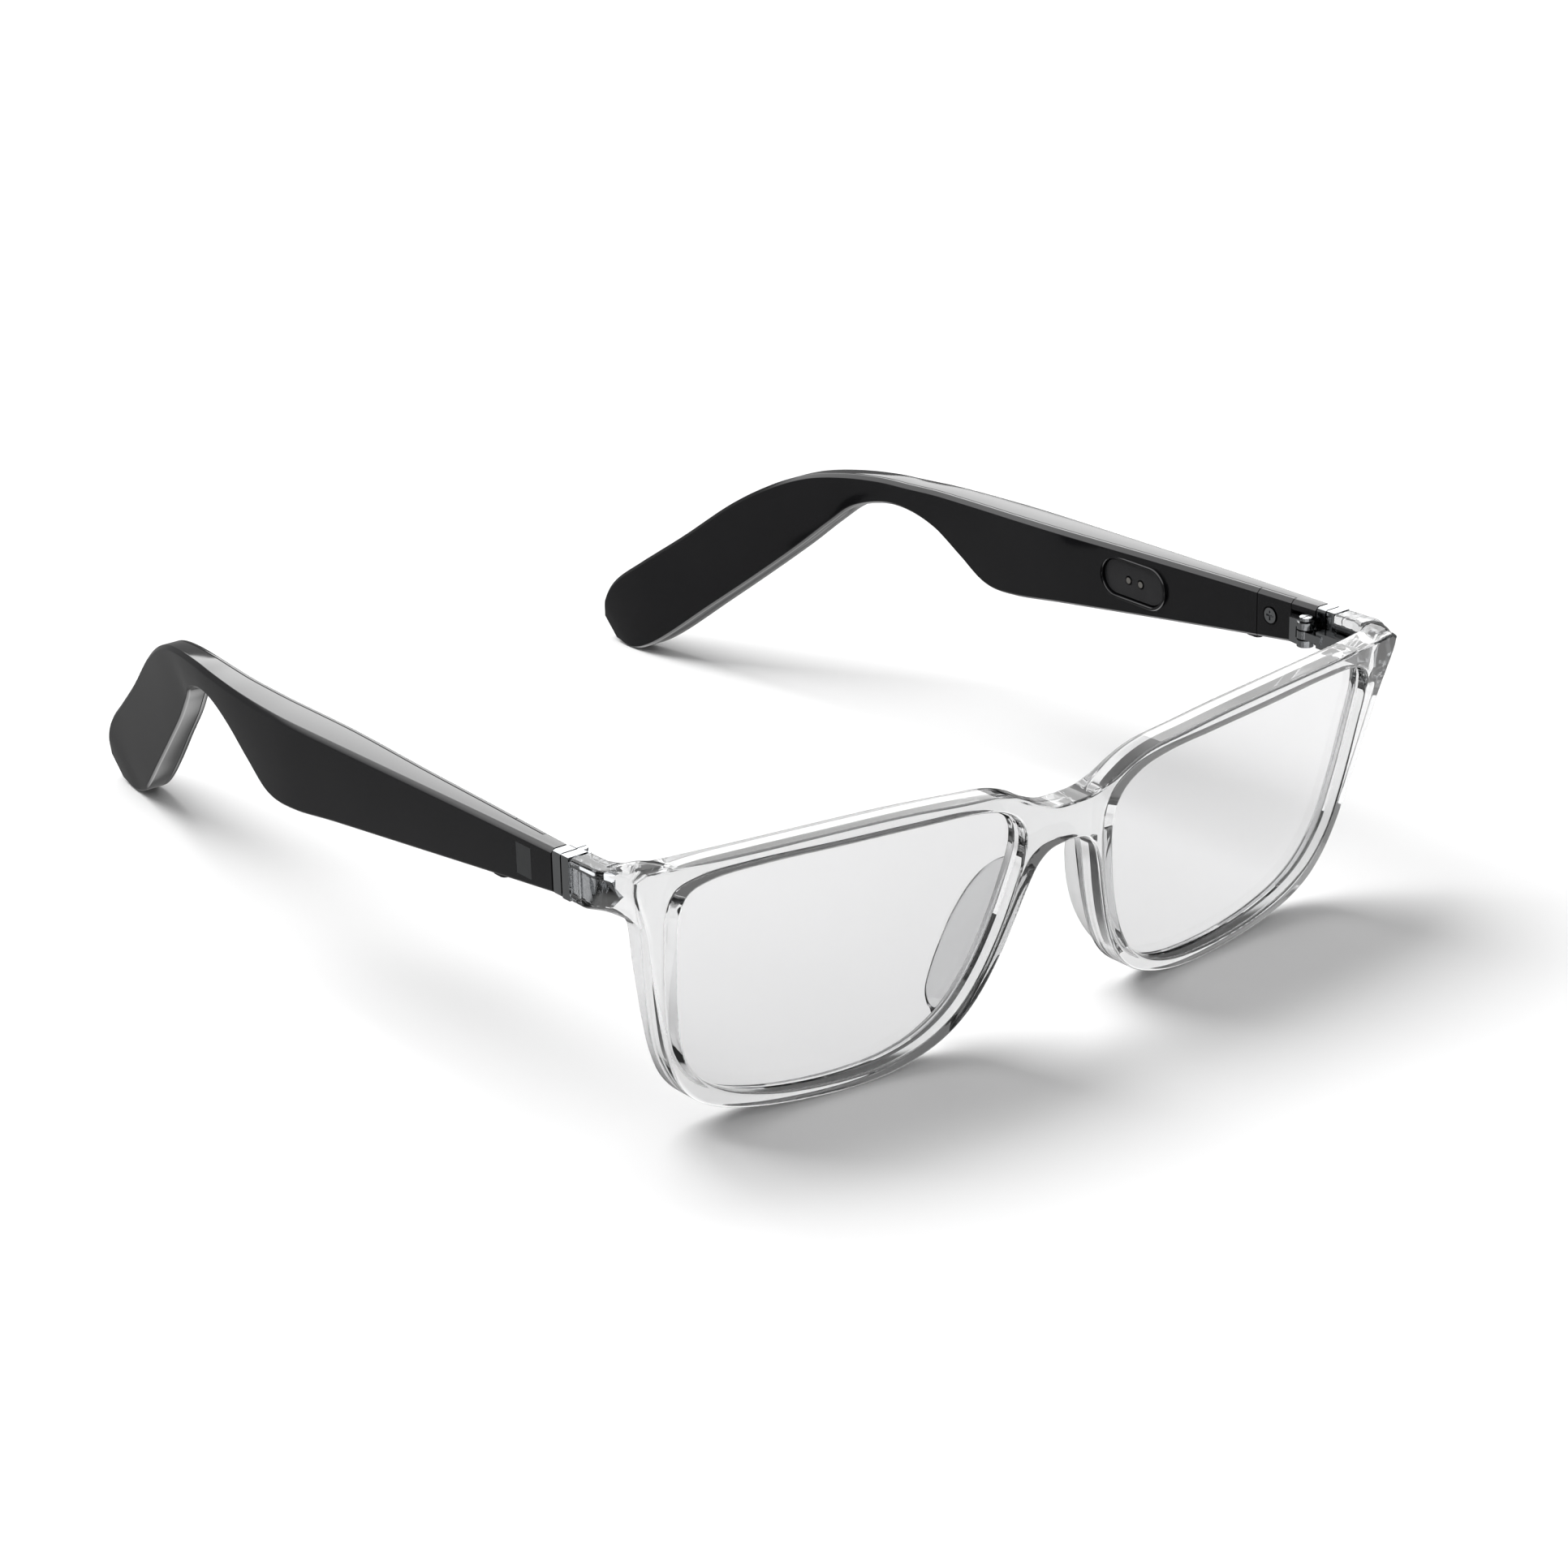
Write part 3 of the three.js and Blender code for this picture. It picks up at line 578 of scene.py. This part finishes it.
def build_lens(side, label):
    """A lens as rings of an outline shrinking to its middle, front and back."""
    loop = grown(lens_loop(1.0), LENS_EDGE[2])
    middle = sum(loop, Vector((0, 0))) / len(loop)
    bevel = 0.15
    rows = []
    for share in [k / 20 for k in range(1, 21)]:
        rows.append((share, LENS_EDGE[0], 0 if share < 1 else -bevel))
    rows.append((1, LENS_EDGE[0] + bevel, 0))
    rows.append((1, LENS_EDGE[1] - bevel, 0))
    for share in [k / 20 for k in range(20, 0, -1)]:
        rows.append((share, LENS_EDGE[1], 0 if share < 1 else -bevel))
    rings = []
    for share, depth, inset in rows:
        ring = grown(loop, inset) if inset else loop
        scaled = [middle.lerp(p, share) for p in ring]
        rings.append([(p.x, face_y(p.x, p.y) + depth, p.y) for p in scaled])
    points, faces = loft(rings)
    piece = outward(make_object(f"lens_glass_{label}", points, faces, side))
    smooth_by_angle(piece, 30)
    return dress(piece, "tinted_lens", "front", [f"lens_{label}"])


def build_nose_pad(side, label):
    stations = [  # z, x of the nose side, length behind the rim
        (28.2, 5.6, 0.6), (27.4, 5.7, 1.9), (26.0, 6.0, 3.2), (23.5, 6.7, 4.4), (19.5, 8.0, 5.2),
        (15.5, 9.4, 5.3), (11.5, 11.2, 4.8), (8.4, 13.1, 3.6), (6.9, 14.3, 2.0), (6.2, 14.9, 0.7),
    ]
    dense = catmull([Vector(s) for s in stations], False, 0.5)
    rings = []
    thickness, splay = 1.9, 0.32
    for z, x, length in dense:
        back = face_y(x, z) + RIM_DEPTH + 0.06
        section = []
        for k in range(17):
            angle = math.pi * k / 16
            across = thickness / 2 * (1 + math.cos(angle))
            if length > thickness:
                along = length - thickness / 2 * (1 - math.sin(angle))
            else:
                along = length * math.sin(angle)
            section.append((across, max(along, 0.0)))
        section = [(thickness, 0), *section, (0, 0)]
        rings.append([(x + a + splay * b, back + b, z) for a, b in section])
    points, faces = loft(rings)
    piece = outward(make_object(f"nose_wing_{label}", points, faces, side))
    smooth_by_angle(piece, 40)
    return dress(piece, "clear_plastic", "front", [f"nose_pad_{label}"])


# ---------- temples ----------

TOP_LINE = [Vector((s[4], s[0], s[1])) for s in TEMPLE_STATIONS]
BOTTOM_LINE = [Vector((s[5], s[2], s[3])) for s in TEMPLE_STATIONS]


def uniform_catmull(points, t):
    """Uniform Catmull-Rom point at t from 0 to 1, with tension 0.5."""
    last = len(points) - 1
    at = min(int(t * last), last - 1)
    u = t * last - at
    b, c = points[at], points[at + 1]
    a = points[at - 1] if at > 0 else b * 2 - c
    d = points[at + 2] if at + 2 <= last else c * 2 - b
    m0, m1 = (c - a) * 0.5, (d - b) * 0.5
    return (
        b * (2 * u**3 - 3 * u**2 + 1)
        + m0 * (u**3 - 2 * u**2 + u)
        + c * (3 * u**2 - 2 * u**3)
        + m1 * (u**3 - u**2)
    )


def station_at(t):
    return uniform_catmull(TOP_LINE, t), uniform_catmull(BOTTOM_LINE, t)


def t_at_y(y):
    low, high = 0.0, 1.0
    for _ in range(40):
        middle = (low + high) / 2
        if uniform_catmull(TOP_LINE, middle).y < y:
            low = middle
        else:
            high = middle
    return low


def inner_x(y):
    return station_at(t_at_y(y))[1].x


def whole(inner, outer):
    return inner


def before_seam(inner, outer):
    return inner + SEAM_X


def behind_seam(inner, outer):
    return inner + SEAM_X + SEAM_GAP


def outer_side(inner, outer):
    return outer


def temple_ring(t, x_from, x_to, cuts):
    """A section across the temple. x_from and x_to give the sides from inner and outer x.
    cuts chamfer the inner bottom, outer bottom, outer top and inner top corners."""
    top, bottom = station_at(t)
    x0, x1 = x_from(bottom.x, top.x), x_to(bottom.x, top.x)
    up = Vector((0, top.y - bottom.y, top.z - bottom.z))
    height = up.length
    up.normalize()
    base = Vector((0, bottom.y, bottom.z))
    ring = []
    corners = ((x0, 0, math.pi), (x1, 0, 1.5 * math.pi), (x1, height, 0), (x0, height, 0.5 * math.pi))
    for (cx, cz, start), (cut, soft) in zip(corners, cuts):
        first = Vector((math.cos(start), math.sin(start)))
        last = Vector((-first.y, first.x))
        reach = cut + CORNER_REACH * soft
        corner = Vector((cx, cz))
        for middle, turn in (
            (corner - first * soft - last * reach, 0),
            (corner - last * soft - first * reach, math.pi / 4),
        ):
            for k in range(4):
                angle = start + turn + k * math.pi / 12
                x, z = middle + soft * Vector((math.cos(angle), math.sin(angle)))
                point = base + up * z
                ring.append((x, point.y, point.z))
    return ring


def temple_loft(t_from, t_to, count, x_from, x_to, cuts):
    return [temple_ring(t_from + (t_to - t_from) * i / count, x_from, x_to, cuts) for i in range(count + 1)]


def cut_away(piece, tool):
    """Takes one closed piece out of another."""
    cut = piece.modifiers.new("cut", "BOOLEAN")
    cut.operation = "DIFFERENCE"
    cut.solver = "EXACT"
    cut.object = tool
    apply_modifiers(piece)
    bpy.data.objects.remove(tool)


def port_outline(grow):
    """The charging port's outline in y and z: a stadium round its middle."""
    radius = PORT_HEIGHT / 2 + grow
    reach = (PORT_LENGTH - PORT_HEIGHT) / 2
    points = []
    for end in (1, -1):
        for k in range(25):
            angle = -math.pi / 2 + math.pi * k / 24 + (0 if end > 0 else math.pi)
            y = PORT_Y + end * reach + radius * math.cos(angle)
            points.append((y, PORT_Z + radius * math.sin(angle)))
    return points


def port_rings(profile):
    """Stadium rings from pairs of x and growth."""
    return [[(x, y, z) for y, z in port_outline(grow)] for x, grow in profile]


def build_shell(side, label):
    t_step = t_at_y(HINGE_COVER_Y[0] - 0.15)
    root_cuts = (BOTTOM_CUT, BOTTOM_CUT, TOP_CUT, TOP_CUT)
    rear_cuts = (SEAM_CUT, BOTTOM_CUT, TOP_CUT, SEAM_CUT)
    rings = temple_loft(t_at_y(TEMPLE_FRONT) + 1e-4, t_step, 6, whole, outer_side, root_cuts)
    rings += temple_loft(t_step, 1.0, 170, behind_seam, outer_side, rear_cuts)
    piece = outward(make_object(f"temple_shell_{label}", *loft(rings), side))
    throat_x = (inner_x(17) - 1, inner_x(17) + 2.2)
    (near, far), (low, high) = THROAT_Y, HINGE_Z
    corners = ((near, low), (far, low), (far, high), (near, high))
    throat = [[(x, y, z) for y, z in corners] for x in throat_x]
    cut_away(piece, outward(make_object("throat", *loft(throat), side)))
    smooth_by_angle(piece, 38)
    return dress(piece, "gloss_black", f"temple_{label}", [f"temple_housing_{label}"])


def build_inner_shell(side, label):
    cuts = (BOTTOM_CUT, SEAM_CUT, SEAM_CUT, TOP_CUT)
    rings = temple_loft(t_at_y(COVER_FRONT), 1.0, 160, whole, before_seam, cuts)
    piece = outward(make_object(f"inner_shell_{label}", *loft(rings), side))
    face = inner_x(PORT_Y)
    hole = port_rings([(face - 2, 0), (face + 3, 0)])
    cut_away(piece, outward(make_object("port_cut", *loft(hole), side)))
    smooth_by_angle(piece, 38)
    return dress(piece, "gloss_black", f"temple_{label}", [f"temple_inner_cover_{label}"])


def build_port_lip(side, label):
    """A rounded lip round the charging port, standing just proud of the cover."""
    face = inner_x(PORT_Y)
    profile = []
    for k in range(12):
        angle = 2 * math.pi * k / 12
        profile.append((face + 0.02 + LIP_RADIUS * math.cos(angle), 0.18 + LIP_RADIUS * math.sin(angle)))
    rings = port_rings(profile)
    points, faces = loft(rings + rings[:1], closed_ends=False)
    count = len(rings[0])
    faces = [tuple(i % (count * len(rings)) for i in f) for f in faces]
    piece = outward(make_object(f"port_lip_{label}", points[: count * len(rings)], faces, side))
    return dress(piece, "gloss_black", f"temple_{label}", [f"temple_inner_cover_{label}"])


def build_hinge_cap(side, label):
    cuts = (BOTTOM_CUT, SEAM_CUT, SEAM_CUT, TOP_CUT)
    rings = temple_loft(t_at_y(HINGE_COVER_Y[0]), t_at_y(HINGE_COVER_Y[1]), 10, whole, before_seam, cuts)
    piece = outward(make_object(f"hinge_cap_{label}", *loft(rings), side))
    face = inner_x(SCREW_Y)
    circle = [2 * math.pi * k / 40 for k in range(40)]
    recess = [
        [(x, SCREW_Y + RECESS_RADIUS * math.cos(a), SCREW_Z + RECESS_RADIUS * math.sin(a)) for a in circle]
        for x in (face - 1, face + RECESS_DEPTH)
    ]
    cut_away(piece, outward(make_object("screw_recess", *loft(recess), side)))
    smooth_by_angle(piece, 38)
    return dress(piece, "gloss_black", f"temple_{label}", [f"hinge_cover_{label}"])


# ---------- carried-over CAD nodes ----------


def dress_cad_nodes():
    slots = {row["node"]: row["material_slot"] for row in frame["record"]["subparts"]}
    for name, node in frame["nodes"].items():
        node.data.materials.clear()
        node.data.materials.append(MATERIALS[slots[name]])
        if slots[name] in ("chrome", "satin_metal", "contact_gold"):
            edge = node.modifiers.new("worn edges", "BEVEL")
            edge.width = WORN_EDGE * MM
            edge.segments = 2
            edge.limit_method = "ANGLE"
            edge.angle_limit = math.radians(40)


# ---------- stage ----------


def ring_of(radius, count):
    turns = [2 * math.pi * k / count for k in range(count)]
    return [(radius * math.cos(turn), radius * math.sin(turn)) for turn in turns]


def build_floor():
    """A pale disc, left out of reflections so that the black parts stay black."""
    rim = [(x, y, 0) for x, y in ring_of(FLOOR_RADIUS, 96)]
    mesh = bpy.data.meshes.new("floor")
    mesh.from_pydata(rim, [], [tuple(range(len(rim)))])
    floor = bpy.data.objects.new("floor", mesh)
    bpy.context.collection.objects.link(floor)
    material, *_, shader = new_material("pale floor")
    shader.inputs["Base Color"].default_value = (0.9, 0.9, 0.9, 1)
    shader.inputs["Roughness"].default_value = 0.9
    shader.inputs["Specular IOR Level"].default_value = 0.0
    mesh.materials.append(material)
    floor.visible_glossy = False


def build_flag():
    """A dark band around the set that fades out upwards, seen only through the clear parts."""
    rim = ring_of(FLAG_RADIUS, 64)
    count = len(rim)
    points = [(x, y, 0.001) for x, y in rim] + [(x, y, FLAG_HEIGHT) for x, y in rim]
    faces = [(k, (k + 1) % count, (k + 1) % count + count, k + count) for k in range(count)]
    mesh = bpy.data.meshes.new("flag")
    mesh.from_pydata(points, [], faces)
    flag = bpy.data.objects.new("flag", mesh)
    bpy.context.collection.objects.link(flag)
    material, nodes, links, shader = new_material("flag cloth")
    shader.inputs["Base Color"].default_value = (0.02, 0.02, 0.02, 1)
    shader.inputs["Roughness"].default_value = 1.0
    place = nodes.new("ShaderNodeTexCoord")
    split = nodes.new("ShaderNodeSeparateXYZ")
    links.new(place.outputs["Object"], split.inputs["Vector"])
    fade = nodes.new("ShaderNodeMapRange")
    fade.interpolation_type = "SMOOTHSTEP"
    fade.inputs["From Min"].default_value = FLAG_HEIGHT
    fade.inputs["From Max"].default_value = 0.5 * FLAG_HEIGHT
    links.new(split.outputs["Z"], fade.inputs["Value"])
    links.new(fade.outputs["Result"], shader.inputs["Alpha"])
    mesh.materials.append(material)
    for way in ("camera", "diffuse", "glossy", "shadow"):
        setattr(flag, f"visible_{way}", False)


def build_world():
    """White behind the object, an even fill, and a darker horizon for reflections and refractions."""
    world = bpy.data.worlds.new("studio")
    bpy.context.scene.world = world
    world.use_nodes = True
    nodes, links = world.node_tree.nodes, world.node_tree.links
    place = nodes.new("ShaderNodeTexCoord")
    split = nodes.new("ShaderNodeSeparateXYZ")
    links.new(place.outputs["Generated"], split.inputs["Vector"])
    ramp = nodes.new("ShaderNodeValToRGB")
    elements = ramp.color_ramp.elements
    elements[0].position, elements[0].color = 0.05, (1, 1, 1, 1)
    elements[1].position, elements[1].color = 0.95, (0.8, 0.8, 0.8, 1)
    for position, level in ((0.15, 0.075), (0.70, 0.075), (0.76, 0.8)):
        elements.new(position).color = (level, level, level, 1)
    height = nodes.new("ShaderNodeMapRange")
    height.inputs["From Min"].default_value = -1
    links.new(split.outputs["Z"], height.inputs["Value"])
    links.new(height.outputs["Result"], ramp.inputs["Fac"])
    path = nodes.new("ShaderNodeLightPath")
    studio = nodes["Background"]
    side = nodes.new("ShaderNodeMapRange")
    side.interpolation_type = "SMOOTHSTEP"
    side.inputs["From Min"].default_value = 0.52
    side.inputs["From Max"].default_value = 0.78
    links.new(split.outputs["X"], side.inputs["Value"])
    deep = nodes.new("ShaderNodeMapRange")
    deep.interpolation_type = "SMOOTHSTEP"
    deep.inputs["From Min"].default_value = -0.4
    deep.inputs["From Max"].default_value = -0.55
    links.new(split.outputs["Z"], deep.inputs["Value"])
    panel = nodes.new("ShaderNodeMath")
    panel.operation = "MULTIPLY"
    side.inputs["To Max"].default_value = 0.5
    links.new(side.outputs["Result"], panel.inputs[0])
    links.new(deep.outputs["Result"], panel.inputs[1])
    level = nodes.new("ShaderNodeMath")
    level.operation = "ADD"
    links.new(ramp.outputs["Color"], level.inputs[0])
    links.new(panel.outputs["Value"], level.inputs[1])
    studio.inputs["Strength"].default_value = 3.0
    links.new(level.outputs["Value"], studio.inputs["Color"])
    fill = nodes.new("ShaderNodeBackground")
    fill.inputs["Color"].default_value = (1, 1, 1, 1)
    fill.inputs["Strength"].default_value = 0.2
    dim = nodes.new("ShaderNodeBackground")
    dim.inputs["Color"].default_value = (0.2, 0.2, 0.2, 1)
    white = nodes.new("ShaderNodeBackground")
    white.inputs["Color"].default_value = (1, 1, 1, 1)
    first = nodes.new("ShaderNodeMixShader")
    through = nodes.new("ShaderNodeMixShader")
    second = nodes.new("ShaderNodeMixShader")
    links.new(path.outputs["Is Diffuse Ray"], first.inputs["Fac"])
    links.new(studio.outputs["Background"], first.inputs[1])
    links.new(fill.outputs["Background"], first.inputs[2])
    links.new(path.outputs["Is Camera Ray"], second.inputs["Fac"])
    links.new(first.outputs["Shader"], second.inputs[1])
    links.new(white.outputs["Background"], second.inputs[2])
    links.new(path.outputs["Is Transmission Ray"], through.inputs["Fac"])
    links.new(second.outputs["Shader"], through.inputs[1])
    links.new(dim.outputs["Background"], through.inputs[2])
    links.new(through.outputs["Shader"], nodes["World Output"].inputs["Surface"])


def area_light(name, place, size, radiance):
    """A rectangular lamp, in metres, that faces the object."""
    light = bpy.data.lights.new(name, "AREA")
    light.shape = "RECTANGLE"
    light.size, light.size_y = size
    light.energy = radiance * math.pi * size[0] * size[1]
    lamp = bpy.data.objects.new(name, light)
    bpy.context.collection.objects.link(lamp)
    lamp.location = place
    lamp.rotation_euler = (Vector((0, 0, 0.02)) - Vector(place)).to_track_quat("-Z", "Y").to_euler()
    return lamp


def build_lights():
    top = area_light("top softbox", place=(-1.1, 2.4, 4.3), size=(3.6, 3.6), radiance=6.9)
    top.visible_transmission = False
    top.visible_glossy = False
    back = area_light("back softbox", place=(1.7, 2.2, 1.13), size=(2.4, 1.0), radiance=2.7)
    back.visible_diffuse = False
    back.visible_transmission = False


def build_camera():
    azimuth, elevation, roll = (math.radians(turn) for turn in CAMERA_TURN)
    data = bpy.data.cameras.new("camera")
    data.lens = CAMERA_LENS
    data.sensor_width = CAMERA_SENSOR
    data.clip_start = 0.01
    camera = bpy.data.objects.new("camera", data)
    bpy.context.collection.objects.link(camera)
    level = math.cos(elevation)
    forward = Vector((math.sin(azimuth) * level, math.cos(azimuth) * level, -math.sin(elevation)))
    right = Vector((math.cos(azimuth), -math.sin(azimuth), 0))
    up = right.cross(forward)
    turned_right = right * math.cos(roll) + up * math.sin(roll)
    turned_up = up * math.cos(roll) - right * math.sin(roll)
    place = in_row(CAMERA_PLACE)
    axes = Matrix((turned_right, turned_up, -forward)).transposed().to_4x4()
    camera.matrix_world = Matrix.Translation(place) @ axes
    bpy.context.scene.camera = camera


build_camera()
build_world()
build_lights()
build_floor()
build_flag()
dress_cad_nodes()
build_front()
for side, label in ((1, "left"), (-1, "right")):
    build_lens(side, label)
    build_nose_pad(side, label)
    build_shell(side, label)
    build_inner_shell(side, label)
    build_port_lip(side, label)
    build_hinge_cap(side, label)

bpy.context.scene.view_settings.view_transform = "Standard"
